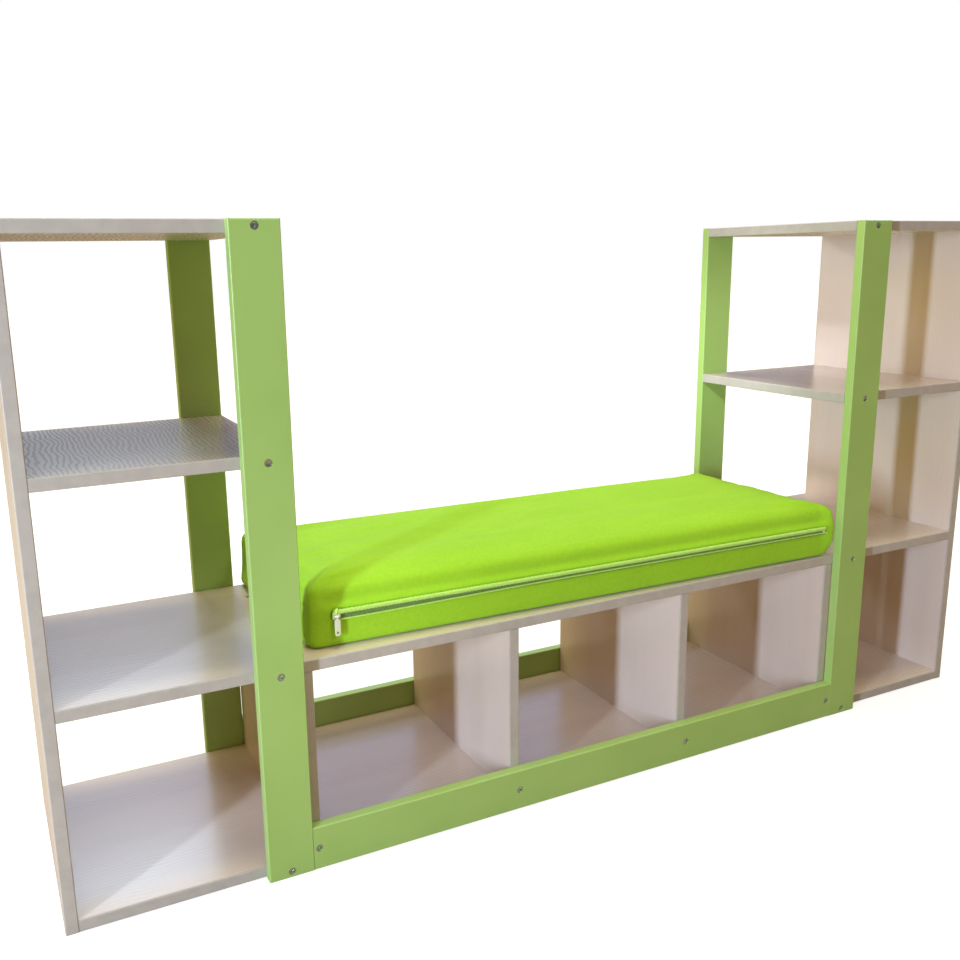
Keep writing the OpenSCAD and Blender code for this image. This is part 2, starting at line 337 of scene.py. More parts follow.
def oak(name, axis, seed, strength, shade):
    """Oak with its grain along an axis, rings of some strength, and a colour times shade: a shade
    below 1 darkens the board as painted shade.
    """
    across = 0 if axis == 1 else 1

    def build(tree):
        shift = (seed, seed * 1.7, seed * 2.3)
        start = tree.add("ShaderNodeTexCoord", output="Object")
        own = tree.add("ShaderNodeVectorMath", {"operation": "ADD"}, {0: start, 1: shift})
        width = tree.add("ShaderNodeSeparateXYZ", {}, {"Vector": own}, across)

        def stretched(fine, slow, detail):
            scale = along(axis, fine, slow)
            where = tree.add("ShaderNodeMapping", {}, {"Vector": own, "Scale": scale})
            values = {"Vector": where, "Scale": 1.0, "Detail": detail, "Roughness": 0.55}
            return tree.add("ShaderNodeTexNoise", {}, values)

        tone = stretched(9, 1.2, 3)
        sway = stretched(13, 9, 3)
        rings = (width * ring_waves + sway * ring_sway).sine() * 0.5 + 0.5
        patches = stretched(8, 2, 1).step(0.3, 0.8) * 0.8 + 0.2
        lines = (rings ** 3) * patches
        pores = stretched(1500, 38, 2).step(0.6, 0.74)
        marks = lines * (0.65 * strength) + pores * (0.3 * strength)
        # Where shade is below 1, both colours are darkened as painted shade.
        pale, deep = (
            (*(part * shade for part in colour[:3]), 1) for colour in (oak_pale, oak_deep)
        )
        face = tone.step(0.3, 0.7).mix(pale, deep)
        colour = marks.mix(face, oak_line)
        pressed = 1 - (lines * 0.4 + pores * 0.6)
        return {
            "Base Color": colour,
            "Roughness": marks * 0.25 + 0.26,
            "Normal": bump(tree, pressed, 0.00004, 0.3),
        }

    return finish_material(name, build, Coat_Weight=0.35, Coat_Roughness=0.25)


def oak_strip(name):
    """The plain beige band glued round the boards, with only a faint streak along it."""
    def build(tree):
        streak = noise(tree, (60, 60, 60), 3)
        colour = streak.step(0.3, 0.7).mix((0.48, 0.44, 0.36, 1), (0.44, 0.40, 0.33, 1))
        return {
            "Base Color": colour,
            "Roughness": streak * 0.1 + 0.38,
            "Normal": bump(tree, noise(tree, (900, 900, 900)), 0.00004, 0.5),
        }

    return finish_material(name, build)


grain_of = {
    "seat_board": 0, "base_board": 0,
    "left_upper_shelf": 1, "right_upper_shelf": 1, "left_top_board": 1, "right_top_board": 1,
}
upright_boards = [
    "left_side_panel", "right_side_panel", "left_end_panel",
    "right_end_panel", "left_divider", "right_divider",
]
grain_of.update({name: 2 for name in upright_boards})
ring_strength = (0.25, 1.0, 0.1)
# The left upper shelf gets stronger rings, and its colour is darkened to 0.74 as painted shade,
# for the shade of the top board above it.
painted_shade_shelf = {"left_upper_shelf": (1.2, 0.74)}
seed_step = 3.1
for number, (name, axis) in enumerate(grain_of.items()):
    strength, shade = painted_shade_shelf.get(name, (ring_strength[axis], 1.0))
    finish = oak("oak_" + name, axis, seed_step * number, strength, shade)
    nodes[name].material_slots[0].material = finish
strip = oak_strip("oak_edging_band")
for name in grain_of:
    nodes[name + "_edging"].material_slots[0].material = strip
print(len(grain_of), "oak boards finished")

# %% [markdown]
# ## Green posts and rails
# These are boards of the same make in a plain leaf green. A printed plain colour is never quite
# even: it has a soft cloudiness, the pressed skin of melamine, and edges that are a shade
# paler where the band is scraped flush.

# %% Green finish
green_names = [
    "left_front_post", "right_front_post", "left_rear_post", "right_rear_post",
    "front_rail", "rear_rail",
]


def green(name, light, dark, pressed):
    """Green melamine between two tones, with a pressed skin of some depth."""
    def build(tree):
        cloud = noise(tree, (7, 7, 7), 3)
        skin = noise(tree, (700, 700, 700), 2)
        colour = cloud.step(0.3, 0.7).mix(light, dark)
        return {
            "Base Color": colour,
            "Roughness": cloud * 0.08 + 0.3,
            "Normal": bump(tree, skin, pressed, 0.5),
        }

    return finish_material(name, build)


green_face = green("green_melamine", (0.36, 0.55, 0.137, 1), (0.33, 0.515, 0.12, 1), 0.00005)
green_band = green("green_edging_band", (0.39, 0.58, 0.155, 1), (0.37, 0.56, 0.14, 1), 0.00003)
for name in green_names:
    nodes[name].material_slots[0].material = green_face
    nodes[name + "_edging"].material_slots[0].material = green_band
print(len(green_names), "green boards finished")

# %% [markdown]
# ## Tools of the workbench
# Every new piece is modelled at its size and place, then its place is written into its mesh, so
# that the object itself stays at the origin. Small helpers keep that short. The most useful one
# selects faces, edges or vertices in edit mode by where they lie, as a maker would point at them.

# %% Helpers for modelling
def only(piece):
    """Makes one object the only selected one, and the active one."""
    bpy.ops.object.select_all(action="DESELECT")
    piece.select_set(True)
    bpy.context.view_layer.objects.active = piece
    return piece


def begin(name, primitive, **sizes):
    """Adds a primitive with its size and place in its mesh, and opens it in edit mode."""
    bpy.ops.object.select_all(action="DESELECT")
    primitive(**sizes)
    piece = bpy.context.object
    piece.name = name
    bpy.ops.object.transform_apply(location=True, rotation=True, scale=True)
    bpy.ops.object.mode_set(mode="EDIT")
    return piece


def select(piece, kind, test):
    """In edit mode, selects the faces, edges or vertices that pass a test."""
    bpy.ops.mesh.select_mode(type=kind)
    bpy.ops.mesh.select_all(action="DESELECT")
    mesh = bmesh.from_edit_mesh(piece.data)
    for part in {"VERT": mesh.verts, "EDGE": mesh.edges, "FACE": mesh.faces}[kind]:
        if test(part):
            part.select_set(True)
    mesh.select_flush_mode()
    bmesh.update_edit_mesh(piece.data)


def end_edit():
    """Turns all faces outwards and leaves edit mode."""
    bpy.ops.mesh.select_all(action="SELECT")
    bpy.ops.mesh.normals_make_consistent(inside=False)
    bpy.ops.object.mode_set(mode="OBJECT")


def finish_with(piece, kind, **settings):
    """Adds one modifier with its settings and applies it."""
    only(piece)
    modifier = piece.modifiers.new(kind.lower(), kind)
    for name, value in settings.items():
        setattr(modifier, name, value)
    bpy.ops.object.modifier_apply(modifier=modifier.name)


def cut(piece, tool, operation="DIFFERENCE"):
    """Cuts a piece with a tool, or joins the two, and clears the tool away."""
    finish_with(piece, "BOOLEAN", operation=operation, object=tool, solver="EXACT")
    bpy.data.objects.remove(tool)


def smooth(piece, angle=35):
    """Shades a piece smooth, except at edges sharper than an angle in degrees."""
    only(piece)
    bpy.ops.object.shade_smooth_by_angle(angle=math.radians(angle))


def round_edges(piece, width, segments, angle):
    """Bevels all edges sharper than an angle in degrees."""
    finish_with(
        piece, "BEVEL", width=width, segments=segments,
        limit_method="ANGLE", angle_limit=math.radians(angle),
    )


def join(name, pieces):
    """Makes one object of several, with the first one's place in the scene."""
    bpy.ops.object.select_all(action="DESELECT")
    for piece in pieces:
        piece.select_set(True)
    bpy.context.view_layer.objects.active = pieces[0]
    bpy.ops.object.join()
    pieces[0].name = name
    return pieces[0]


def fit(piece, body, slot, material, *replaced):
    """Gives a finished piece its material and body, and hides the nodes that it stands for. The
    slot is not used.
    """
    piece.data.materials.clear()
    piece.data.materials.append(material)
    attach(piece, body)
    if replaced:
        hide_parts(*replaced)
    print(piece.name, len(piece.data.polygons), "faces, on", body)


print("the workbench is ready")

# %% [markdown]
# ## Screws
# The boards are held by zinc-plated furniture screws with a flat head and a hexagon socket. The
# head is a short round disc, sunk just below the board. It is modelled once: a cylinder gets a
# shank by extruding its lower face, a shallow dish by insetting its upper face, and its socket
# from a hexagonal tool. A fine bevel gives the rims a highlight, as plated metal has.

# %% One screw head
head_r, head_t, head_sink = 0.0048, 0.002, 0.0006
shoulder, shank_l = 0.0023, 0.006
rim_w, dish_w, dish_depth = 0.0007, 0.0008, 0.00018
socket_r, socket_depth, tool_l = 0.00266, 0.0026, 0.006
screw = begin(
    "screw", bpy.ops.mesh.primitive_cylinder_add,
    vertices=36, radius=head_r, depth=head_t, location=(0, 0, -head_sink - head_t / 2),
)
select(screw, "FACE", lambda face: face.normal.z < -0.9)
bpy.ops.mesh.inset(thickness=shoulder)
bpy.ops.mesh.extrude_region_move(TRANSFORM_OT_translate={"value": (0, 0, -shank_l)})
select(screw, "FACE", lambda face: face.normal.z > 0.9)
bpy.ops.mesh.inset(thickness=rim_w)
bpy.ops.mesh.inset(thickness=dish_w, depth=-dish_depth)
end_edit()
socket_tool = begin(
    "socket_tool", bpy.ops.mesh.primitive_cylinder_add, vertices=6, radius=socket_r,
    depth=tool_l, location=(0, 0, -head_sink - socket_depth + tool_l / 2),
)
end_edit()
cut(screw, socket_tool)
round_edges(screw, 0.00018, 2, 40)
smooth(screw)
print("one screw head has", len(screw.data.polygons), "faces")

# %% [markdown]
# ## Where the screws sit
# A screw goes through one board into the end of another, so it lies level with that board's
# middle. Each place is a point on the outer board's face and the direction out of it. The points
# come from the boards' boxes, so the rows stay right if a board moves.

# %% Screw places
shelf_boards = ("base_board", "seat_board", "left_upper_shelf", "left_top_board")
uprights = ("left_end_panel", "left_divider", "right_divider", "right_end_panel")
board_levels = [middle(board).z for board in shelf_boards]
upright_x = [middle(board).x for board in uprights]
inset_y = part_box("left_side_screws")[1].y - head_r
side_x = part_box("right_side_panel")[1].x
front_y, rear_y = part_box("left_front_post")[0].y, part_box("left_rear_post")[1].y
rail_z = middle("front_rail").z
floor_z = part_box("base_board")[0].z
post_x = middle("right_front_post").x
faces_y = ((front_y, -1), (rear_y, 1))
screw_rows = {
    "rail_screws": [((x, y, rail_z), (0, out, 0)) for x in upright_x for y, out in faces_y],
    "seat_screws": [((x, y, seat_top), (0, 0, 1)) for x in upright_x for y in (-inset_y, inset_y)],
    "base_screws": [((x, y, floor_z), (0, 0, -1)) for x in upright_x for y in (-inset_y, inset_y)],
}
for side, way in (("left", -1), ("right", 1)):
    screw_rows[side + "_post_screws"] = [
        ((way * post_x, y, z), (0, out, 0)) for z in board_levels for y, out in faces_y
    ]
    screw_rows[side + "_side_screws"] = [
        ((way * side_x, y, z), (way, 0, 0)) for z in board_levels for y in (-inset_y, inset_y)
    ]
print(sum(len(row) for row in screw_rows.values()), "screws in", len(screw_rows), "rows")

# %% [markdown]
# ## Zinc and a handful of screws
# Zinc plate is a pale metal with a dull, uneven cloudiness, so both its colour and its roughness
# vary. The one screw is copied to each place with its own mesh, and turned a little differently,
# because no one lines up the sockets of real screws. Each row then becomes one piece.

# %% Zinc finish and all the screws
def zinc(tree):
    cloud = noise(tree, (400, 400, 400), 2)
    fleck = noise(tree, (2500, 2500, 2500), 2)
    return {
        "Base Color": cloud.step(0.35, 0.65).mix((0.62, 0.64, 0.52, 1), (0.42, 0.44, 0.36, 1)),
        "Roughness": cloud * 0.2 + 0.18,
        "Normal": bump(tree, fleck, 0.00002, 0.6),
    }


zinc_plate = finish_material("zinc_plate", zinc, Metallic=1.0)


def drive_screws(name, places):
    """Copies the screw head to every place, turned a little differently each time."""
    first_turn, turn_step = 0.3, 0.7
    driven = []
    for number, (at, out) in enumerate(places):
        copy = bpy.data.objects.new(name, screw.data.copy())
        scene.collection.objects.link(copy)
        turn = Vector(out).to_track_quat("Z", "Y").to_matrix().to_4x4()
        spin = Matrix.Rotation(turn_step * number + first_turn, 4, "Z")
        copy.data.transform(Matrix.Translation(at) @ turn @ spin)
        driven.append(copy)
    fit(join(name + "_set", driven), "unit", "screw_zinc", zinc_plate, name)


for name, places in screw_rows.items():
    drive_screws(name, places)
bpy.data.objects.remove(screw)

# %% [markdown]
# ## The cushion's blank
# The seat pad is a block of foam in a sewn cover. A block with rounded corners is only the
# pattern: the real cover is blown out by the foam and pulled in by its zip. So the blank starts
# a few millimetres small, with bevels along its edges, and is remeshed to even squares that can
# behave as cloth. The cushion lies turned, so its own length and depth are worked out from its
# box, which is a little smaller than a sharp block's would be, because its corners are round.

# %% Blank of the cover
block_corner_r = 0.026
small = 0.0035
upright_bevel, top_bevel, bottom_bevel = 0.014, 0.017, 0.009
voxel = 0.0065
turn_c, turn_s = abs(math.cos(cushion_turn)), abs(math.sin(cushion_turn))
box_x = cushion_high.x - cushion_low.x - 2 * block_corner_r
box_y = cushion_high.y - cushion_low.y - 2 * block_corner_r
spread = turn_c ** 2 - turn_s ** 2
cushion_l = (box_x * turn_c - box_y * turn_s) / spread + 2 * block_corner_r
cushion_d = (box_y * turn_c - box_x * turn_s) / spread + 2 * block_corner_r
cover = begin(
    "cushion_cover_sewn", bpy.ops.mesh.primitive_cube_add, size=1,
    location=(0, 0, cushion_h / 2),
    scale=(cushion_l - 2 * small, cushion_d - 2 * small, cushion_h),
)
select(cover, "EDGE", lambda edge: abs(edge.verts[0].co.z - edge.verts[1].co.z) > 0.01)
bpy.ops.mesh.bevel(offset=upright_bevel, segments=5, affect="EDGES")
select(cover, "EDGE", lambda edge: min(v.co.z for v in edge.verts) > cushion_h - 0.001)
bpy.ops.mesh.bevel(offset=top_bevel, segments=6, affect="EDGES")
select(cover, "EDGE", lambda edge: max(v.co.z for v in edge.verts) < 0.001)
bpy.ops.mesh.bevel(offset=bottom_bevel, segments=4, affect="EDGES")
end_edit()
cover.data.remesh_voxel_size = voxel
only(cover)
bpy.ops.object.voxel_remesh()
print("the cover measures", round(cushion_l, 3), "by", round(cushion_d, 3), "m")
print("its blank has", len(cover.data.vertices), "points")

# %% [markdown]
# ## Filling the cover
# Cloth with a little pressure inside swells between the places that hold it. Here the bottom,
# which lies on the seat, and the stiff band of the zip are held. Gravity is off, because the
# foam carries the weight, and no point may move more than a few millimetres: a smooth limit
# keeps the crown soft instead of flat. The modifier is applied at the last frame, so what is
# left is a plain mesh.

# %% Cloth simulation
def points_of(piece):
    """The vertices of a piece as rows of an array."""
    flat = np.empty(len(piece.data.vertices) * 3, dtype=np.float32)
    piece.data.vertices.foreach_get("co", flat)
    return flat.reshape(-1, 3).astype(float)


def set_points(piece, points):
    """Moves the vertices of a piece to the rows of an array."""
    piece.data.vertices.foreach_set("co", points.astype(np.float32).ravel())
    piece.data.update()


def ramp(value, low, high):
    """0 below low, 1 above high, smooth between, for arrays of numbers."""
    t = np.clip((value - low) / (high - low), 0, 1)
    return t * t * (3 - 2 * t)


zip_z = middle("zip_coil").z - seat_top
face_y = -cushion_d / 2
last_frame = 20
limit = 0.0055
flat_start = points_of(cover)
near_face = flat_start[:, 1] < face_y + 0.012
near_zip = near_face & (abs(flat_start[:, 2] - zip_z) < 0.011)
underside = flat_start[:, 2] < 0.004
held = cover.vertex_groups.new(name="held")
held.add([int(i) for i in np.flatnonzero(underside | near_zip)], 1.0, "REPLACE")
only(cover)
filling = cover.modifiers.new("filling", "CLOTH")
filling.settings.quality = 5
filling.settings.mass = 0.3
filling.settings.tension_stiffness = 15
filling.settings.compression_stiffness = 15
filling.settings.bending_stiffness = 0.6
filling.settings.use_pressure = True
filling.settings.uniform_pressure_force = 4
filling.settings.effector_weights.gravity = 0
filling.settings.vertex_group_mass = "held"
filling.collision_settings.use_collision = False
for number in range(1, last_frame + 1):
    scene.frame_set(number)
bpy.ops.object.modifier_apply(modifier="filling")
scene.frame_set(1)
moved = points_of(cover) - flat_start
far = np.linalg.norm(moved, axis=1)
kept = limit * np.tanh(far / limit) / np.maximum(far, 1e-9)
print("the cloth swelled by up to", round(float(far.max()) * 1000, 1), "mm")
cover.vertex_groups.clear()

# %% [markdown]
# ## How the cushion lies
# No cushion keeps its pattern's shape. This one has slipped into a slight skew. Its front right
# corner bulges against the post, the rear right one has sunk, its back is drawn in at the middle,
# and the top carries long soft creases. One function moves any point of the cushion that way, so
# the zip can later follow the cover.

# %% Settled shape
half_l = cushion_l / 2
half_d = cushion_d / 2
zip_mid, zip_half = 0.0075, 0.438
skew_mean, skew_change = 0.052, 0.012
bulge_right, bulge_front, bulge_up = 0.007, 0.010, 0.003
waist_in = 0.004
rear_drop = 0.003
crease_h = 0.0007


def settle(points):
    """Moves points from the cushion's pattern to how it really lies."""
    x, y, z = points.T
    end = x / half_l
    upper = ramp(z, 0.03, 0.085)
    back = ramp(y, -0.02, half_d)
    free = 1 - ramp(-y, half_d - 0.02, half_d - 0.008)
    skew = -(skew_mean - skew_change * end) * y * ramp(abs(end), 0.2, 1)
    corner = ramp(x, zip_half, half_l) * ramp(-y, 0.06, half_d) * ramp(z, 0, 0.03)
    low_corner = ramp(x, 0.1, half_l) * back
    wide_creases = np.sin(y * 74 + 1.1 * np.sin(x * 9)) * np.sin(x * 7 + 0.6)
    creases = wide_creases + 0.6 * np.sin(y * 131 + 2 * x)
    waist = np.cos(np.clip(end, -1, 1) * math.pi / 2) * ramp(y, 0.1, half_d)
    sag = rear_drop * low_corner - bulge_up * corner
    return np.stack([
        x + skew + bulge_right * corner,
        y - bulge_front * corner - waist_in * waist,
        z - upper * sag + upper * free * crease_h * creases,
    ], axis=1)


shaped = flat_start + moved * kept[:, None]
shaped[:, 2] = np.maximum(shaped[:, 2], 0)
set_points(cover, shaped)
finish_with(cover, "SUBSURF", levels=1, render_levels=1)
print("the filled cover has", len(cover.data.vertices), "points")

# %% [markdown]
# ## The zip's channel
# The zip lies in a shallow channel between two lips of cloth. It gapes near the slider and closes
# towards the right. The cover's squares are too coarse for it, so only those along the zip are
# subdivided, and their points are then pushed in by a depth that fades smoothly at the edges. At
# last the cover is settled, laid on the seat and kept just clear of the post that it leans on.

# %% The zip's channel in the cover
channel_low, channel_depth = 0.0052, 0.0036
mouth_left, mouth_less = 0.0047, 0.0018
lip_out, lip_off, lip_w = 0.0011, 0.0105, 0.004
post_gap = 0.0006


def closing(x):
    """0 near the slider, where the zip gapes, and 1 where its edges have come together."""
    return ramp(x, -0.42, -0.05)


def in_zip_band(face):
    at = face.calc_center_median()
    beside = abs(at.x - zip_mid) < zip_half + 0.008
    return at.y < face_y + 0.008 and abs(at.z - zip_z) < 0.011 and beside


only(cover)
bpy.ops.object.mode_set(mode="EDIT")
select(cover, "FACE", in_zip_band)
bpy.ops.mesh.subdivide(number_cuts=1)
end_edit()
shape = points_of(cover)
ends = 1 - ramp(abs(shape[:, 0] - zip_mid), zip_half - 0.003, zip_half + 0.003)
mouth = mouth_left - mouth_less * closing(shape[:, 0])
depth = 1 - ramp(abs(shape[:, 2] - zip_z + channel_low - mouth), mouth, mouth + 0.0026)
on_face = ramp(-shape[:, 1], half_d - 0.012, half_d - 0.008)
shape[:, 1] += channel_depth * ends * depth * on_face
lips = np.exp(-((abs(shape[:, 2] - zip_z) - lip_off) / lip_w) ** 2)
shape[:, 1] -= lip_out * lips * ends * on_face
set_points(cover, settle(shape))
cover.data.transform(lay_on_seat)
post_low, post_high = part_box("right_front_post")
laid = points_of(cover)
pressed_on_post = (laid[:, 1] < post_high.y + 0.002) & (laid[:, 0] > 0)
laid[pressed_on_post, 0] = np.minimum(laid[pressed_on_post, 0], post_low.x - post_gap)
set_points(cover, laid)
only(cover)
bpy.ops.object.shade_smooth()
print("the channel of the zip is", round(2000 * zip_half), "mm long")

# %% [markdown]
# ## Lime cover cloth
# The cover is a bright lime furniture cloth with a short nap. Two sets of fine threads cross,
# and the nap scatters light at the edges, which is what a sheen does in the shader. The yarn is
# dyed a little unevenly, so soft mottling a few millimetres wide breaks up the colour.

# %% Cloth finish
cloth_bright = (0.35, 0.655, 0.026, 1)
cloth_deep = (0.30, 0.59, 0.020, 1)


def threads(tree, pitch):
    """The height of a plain weave: threads along x cross threads over y and z."""
    own = tree.add("ShaderNodeTexCoord", output="Object")
    x = tree.add("ShaderNodeSeparateXYZ", {}, {"Vector": own}, "X")
    y, z = x.output("Y"), x.output("Z")
    turns = 2 * math.pi / pitch
    return (x * turns).sine() * 0.25 + ((y + z) * turns).sine() * 0.25 + 0.5


def cover_cloth(tree):
    weave_pitch = 0.0011
    mottle = noise(tree, (170, 170, 170), 3, 0.6)
    cloud = noise(tree, (9, 22, 22), 2)
    nap = noise(tree, (900, 900, 900), 2)
    shade = mottle.step(0.3, 0.7) * 0.6 + cloud.step(0.3, 0.7) * 0.4
    relief = threads(tree, weave_pitch) * 0.5 + nap * 0.5 + mottle
    return {
        "Base Color": shade.mix(cloth_bright, cloth_deep),
        "Roughness": nap * 0.15 + 0.75,
        "Normal": bump(tree, relief, 0.0005, 0.5),
    }


lime_cloth = finish_material(
    "lime_cloth", cover_cloth, Sheen_Weight=0.1, Sheen_Roughness=0.35, Specular_IOR_Level=0.2
)
fit(cover, "cushion", "cover_cloth", lime_cloth, "cushion_cover", "cushion_foam")

# %% [markdown]
# ## The zip's edges
# Above the zip the cover is folded to a ribbed edge and sewn with zigzag thread, which stands
# proud and catches the light. Below it there is only a thin turned edge. Both are rows of one
# small ring that is modelled once, so an Array modifier repeats it and welds the copies. The
# upper edge ends in a thicker knot of thread at the left, and its ribs lean. The lower edge
# rises towards the right, where the zip closes.

# %% Ribbed edges
def length_in_x(edge):
    return abs(edge.verts[0].co.x - edge.verts[1].co.x)


def ribbed(name, pitch, half_y, half_z, bulge, sides):
    """A soft ribbed cord along x, of rings that are each thicker in the middle."""
    ring = begin(
        name, bpy.ops.mesh.primitive_cylinder_add, vertices=sides, radius=1, depth=pitch,
        end_fill_type="NOTHING", rotation=(0, math.pi / 2, 0), scale=(half_z, half_y, 1),
    )
    select(ring, "EDGE", lambda edge: length_in_x(edge) > pitch / 2)
    bpy.ops.mesh.subdivide(number_cuts=1)
    select(ring, "VERT", lambda v: abs(v.co.x) < pitch / 4)
    bpy.ops.transform.resize(value=(1, bulge, bulge), center_override=(0, 0, 0))
    end_edit()
    count = round(2 * zip_half / pitch)
    finish_with(
        ring, "ARRAY", count=count, relative_offset_displace=(1, 0, 0),
        use_merge_vertices=True, merge_threshold=pitch / 20,
    )
    only(ring)
    bpy.ops.object.mode_set(mode="EDIT")
    bpy.ops.mesh.select_mode(type="EDGE")
    bpy.ops.mesh.select_all(action="DESELECT")
    bpy.ops.mesh.select_non_manifold()
    bpy.ops.mesh.fill_holes(sides=sides)
    end_edit()
    points = points_of(ring)
    points[:, 0] += zip_mid - zip_half + pitch / 2
    set_points(ring, points)
    return ring


knot_growth = 0.55
rib_lean = 0.5
lower_rise = 0.0036
upper_edge = ribbed("upper_edge", 0.0056, 0.002, 0.0027, 1.35, 12)
points = points_of(upper_edge)
knot = np.exp(-((points[:, 0] - zip_mid + zip_half - 0.002) / 0.004) ** 2)
points[:, 1:] *= (1 + knot_growth * knot)[:, None]
points[:, 0] += rib_lean * points[:, 2]
set_points(upper_edge, points + [0, face_y - 0.0009, zip_z + 0.0052])

lower_edge = ribbed("lower_edge", 0.0034, 0.0012, 0.0012, 1.1, 8)
points = points_of(lower_edge)
points[:, 2] += lower_rise * closing(points[:, 0])
set_points(lower_edge, points + [0, face_y - 0.0006, zip_z - 0.0058])
print("the upper edge has", len(upper_edge.data.polygons), "faces")
print("the lower edge has", len(lower_edge.data.polygons), "faces")

# %% [markdown]
# ## Tapes and coil
# Between the edges lies the zip itself: two woven tapes, and on them a coil of plastic thread
# whose loops hook into each other. The tapes are thin strips with rolled edges. One loop of the
# coil is a bar with round ends, leaning a little, and the Array modifier sets the rest.

# %% Tapes and coil
tape_t = 0.0009
tape_cuts = 60


def tape(name, low, high):
    """A woven strip between two heights, measured from the middle of the zip."""
    strip = begin(
        name, bpy.ops.mesh.primitive_cube_add, size=1,
        location=(zip_mid, face_y + 0.0019, zip_z + (low + high) / 2),
        scale=(2 * zip_half, tape_t, high - low),
    )
    select(strip, "EDGE", lambda edge: length_in_x(edge) > zip_half)
    bpy.ops.mesh.bevel(offset=0.0003, segments=2, affect="EDGES")
    select(strip, "EDGE", lambda edge: length_in_x(edge) > zip_half)
    bpy.ops.mesh.subdivide(number_cuts=tape_cuts)
    end_edit()
    return strip


upper_tape = tape("upper_tape", 0.0003, 0.006)
lower_tape = tape("lower_tape", -0.0055, -0.0003)
tapes = join("zip_tape_strips", [upper_tape, lower_tape])
zip_edges = join("zip_sewn_edges", [upper_edge, lower_edge])

loop_pitch = 0.0015
coil_margin = 0.006
loop = begin(
    "zip_coil_loops", bpy.ops.mesh.primitive_cylinder_add, vertices=6, radius=0.00052,
    depth=0.0034, location=(0, 0, 0), rotation=(0, math.radians(10), 0),
)
select(loop, "FACE", lambda face: abs(face.normal.z) > 0.9)
bpy.ops.mesh.inset(thickness=0.0002, depth=0.0002)
end_edit()
finish_with(
    loop, "ARRAY", count=round(2 * (zip_half - coil_margin) / loop_pitch),
    use_relative_offset=False, use_constant_offset=True,
    constant_offset_displace=(loop_pitch, 0, 0),
)
coil_start = [zip_mid - zip_half + coil_margin, face_y + 0.0008, zip_z]
set_points(loop, points_of(loop) + coil_start)
print("the coil has", len(loop.data.polygons), "faces")

# %% [markdown]
# ## Stops
# A metal clamp at each end of the coil keeps the slider on it. Each is a small block whose front
# face is inset and pressed in a little, with all its edges rounded. The one at the right is
# taller, because it holds both tapes together.

# %% Stops of the zip
stop_in = 0.0035
stops = []
for x, tall in ((zip_mid - zip_half + stop_in, 1.0), (zip_mid + zip_half - stop_in, 1.3)):
    stop = begin(
        "stop", bpy.ops.mesh.primitive_cube_add, size=1,
        location=(x, face_y + 0.0002, zip_z), scale=(0.0024, 0.0022, 0.0044 * tall),
    )
    select(stop, "FACE", lambda face: face.normal.y < -0.9)
    bpy.ops.mesh.inset(thickness=0.0005)
    bpy.ops.transform.translate(value=(0, 0.0003, 0))
    end_edit()
    round_edges(stop, 0.0005, 3, 50)
    stops.append(stop)
stop_pair = join("zip_stop_pair", stops)
print("the two stops have", len(stop_pair.data.polygons), "faces")

# %% [markdown]
# ## Finishes of the zip
# Four finishes lie side by side here: the sewn edge, the dull green tape, the coil's slightly
# glossy plastic, and cream enamel on the metal parts, worn in fine scratches. The sewn edge is
# painted brighter than the cover's cloth, a painted highlight for the light on its raised fold.
# The tape and the coil are dark green, partly their own colour and partly painted shade of the
# recess that they lie in. The tape and the edge share one recipe in two colours. The enamel has
# a coat over a base that is part metal, so its highlights stay crisp. The pieces are then laid
# on the settled cushion, and each is given its finish.

# %% Zip finishes
def zip_fabric(name, bright, deep):
    """Ribbed cloth between two tones, for the tapes and for the sewn edges."""
    rib_pitch = 0.0009

    def build(tree):
        ribs = threads(tree, rib_pitch)
        cloud = noise(tree, (300, 300, 300), 2)
        return {
            "Base Color": cloud.step(0.3, 0.7).mix(bright, deep),
            "Roughness": cloud * 0.15 + 0.72,
            "Normal": bump(tree, ribs, 0.0003, 0.5),
        }

    return finish_material(name, build, Sheen_Weight=0.15)


def plastic_coil(tree):
    cloud = noise(tree, (500, 500, 500), 2)
    # The coil's dark green is partly its own colour and partly painted shade of the recess that it
    # lies in.
    return {
        "Base Color": cloud.step(0.3, 0.7).mix((0.20, 0.34, 0.07, 1), (0.16, 0.28, 0.05, 1)),
        "Roughness": cloud * 0.15 + 0.3,
        "Normal": bump(tree, cloud, 0.00003, 0.5),
    }


def cream_metal(tree):
    cloud = noise(tree, (350, 350, 350), 2)
    scratch = noise(tree, (300, 300, 4000), 2).step(0.62, 0.75)
    return {
        "Base Color": scratch.mix((0.84, 0.86, 0.62, 1), (0.64, 0.66, 0.46, 1)),
        "Roughness": cloud * 0.2 + 0.25 + scratch * 0.15,
        "Normal": bump(tree, cloud, 0.00003, 0.6),
    }


# The sewn edges are the cover's cloth painted brighter: a painted highlight for the light on their
# raised folds.
edge_cloth_painted_highlight = zip_fabric("lime_painted_highlight_edge", (0.52, 0.82, 0.15, 1), (0.43, 0.73, 0.09, 1))
